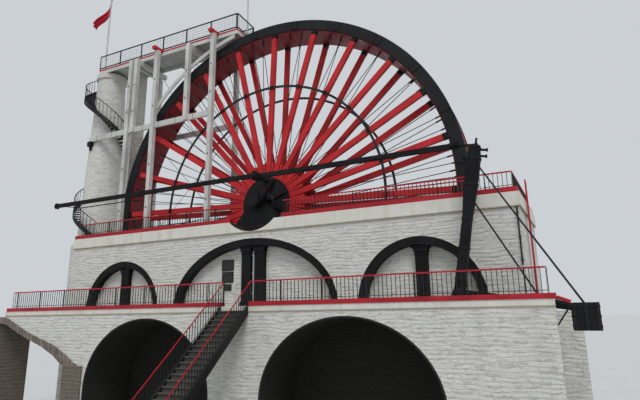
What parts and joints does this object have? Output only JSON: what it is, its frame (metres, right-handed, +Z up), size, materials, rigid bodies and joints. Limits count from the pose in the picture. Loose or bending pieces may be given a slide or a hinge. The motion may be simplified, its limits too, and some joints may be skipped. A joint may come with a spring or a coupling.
{
  "type": "water wheel plant",
  "caption": "Large backshot water wheel in a white masonry wheelhouse with water tower, feed platform, crank, pumping rods and rocking balance post.",
  "frame": {"origin": "on the floor line of the building, straight under the middle of the axle", "axes": "+X along the wheel's plane to the right, +Y to the back of the building, +Z up"},
  "size_m": [31.96, 14.945, 28.98],
  "materials": {
    "white_masonry": "whitewashed rubble",
    "bare_stone": "rough cut stone",
    "cream_render": "smooth painted render",
    "red_kerb": "painted coping",
    "black_paint": "painted timber",
    "white_timber": "painted timber",
    "red_timber": "painted timber",
    "dark_red_timber": "painted boards",
    "black_iron": "painted casting",
    "black_rail": "painted bar",
    "red_rail": "painted bar",
    "stair_stone": "worn slabs",
    "deck_boards": "weathered boards",
    "axle_steel": "oiled shaft",
    "flag_cloth": "plain cloth"
  },
  "bodies": {
    "root": {"pit_floor": "bare_stone", "front_wall": "white_masonry", "rear_wall": "white_masonry", "left_end_wall": "white_masonry", "right_end_wall": "white_masonry", "tower_base": "white_masonry", "terrace_wall": "white_masonry", "terrace_end": "white_masonry", "side_piers": "bare_stone", "side_arch_ring": "bare_stone", "cornice": "cream_render", "upper_kerb": "red_kerb", "terrace_band": "cream_render", "terrace_kerb": "red_kerb", "arch_bands": "black_paint", "columns": "black_paint", "end_buttress": "white_masonry", "feed_pier": "white_masonry", "tower": "white_masonry", "tower_cap": "white_masonry", "winding_steps": "black_iron", "winding_string": "black_rail", "winding_rail": "black_rail", "winding_balusters": "black_rail", "front_posts": "white_timber", "rear_posts": "white_timber", "long_beams": "white_timber", "low_heads": "white_timber", "cross_heads": "red_timber", "deck": "deck_boards", "deck_fascia": "white_timber", "deck_trim": "red_kerb", "deck_railing": "black_rail", "apron_board": "white_timber", "flagpoles": "white_timber", "flag": "flag_cloth", "upper_fence": "black_rail", "pit_fence": "red_rail", "terrace_fence": "black_rail", "stair_treads": "stair_stone", "stair_strings": "black_rail", "stair_rails": "black_rail", "bearings": "black_iron", "rocker_bearing": "black_iron", "ladder": "red_rail"},
    "wheel": {"bucket_ring": "dark_red_timber", "shrouds": "black_iron", "front_spokes": "red_timber", "rear_spokes": "red_timber", "tie_rings": "black_rail", "hub": "black_iron", "hub_wedges": "red_timber", "axle": "axle_steel", "crank": "black_iron"},
    "rods": {"left_rod": "black_paint", "right_rod": "black_paint"},
    "rocker": {"rocking_post": "black_paint", "rocking_arm": "black_paint", "rocker_stays": "black_rail", "counterweight": "black_iron"}
  },
  "joints": [
    {"name": "wheel_spin", "type": "hinge", "parent": "root", "child": "wheel", "pos_m": [0, 0, 11.6], "axis": [0, 1, 0], "continuous": true},
    {"name": "rod_swing", "type": "hinge", "parent": "wheel", "child": "rods", "pos_m": [0.8776, -3.4, 12.44748], "axis": [0, 1, 0], "continuous": true},
    {"name": "post_rock", "type": "hinge", "parent": "root", "child": "rocker", "pos_m": [10.68, -3.91, 6.28], "axis": [0, 1, 0], "range_deg": [-20, 3.3]}
  ],
  "couplings": [
    {"joint": "rod_swing", "follows": "wheel_spin", "ratio": -1}
  ]
}
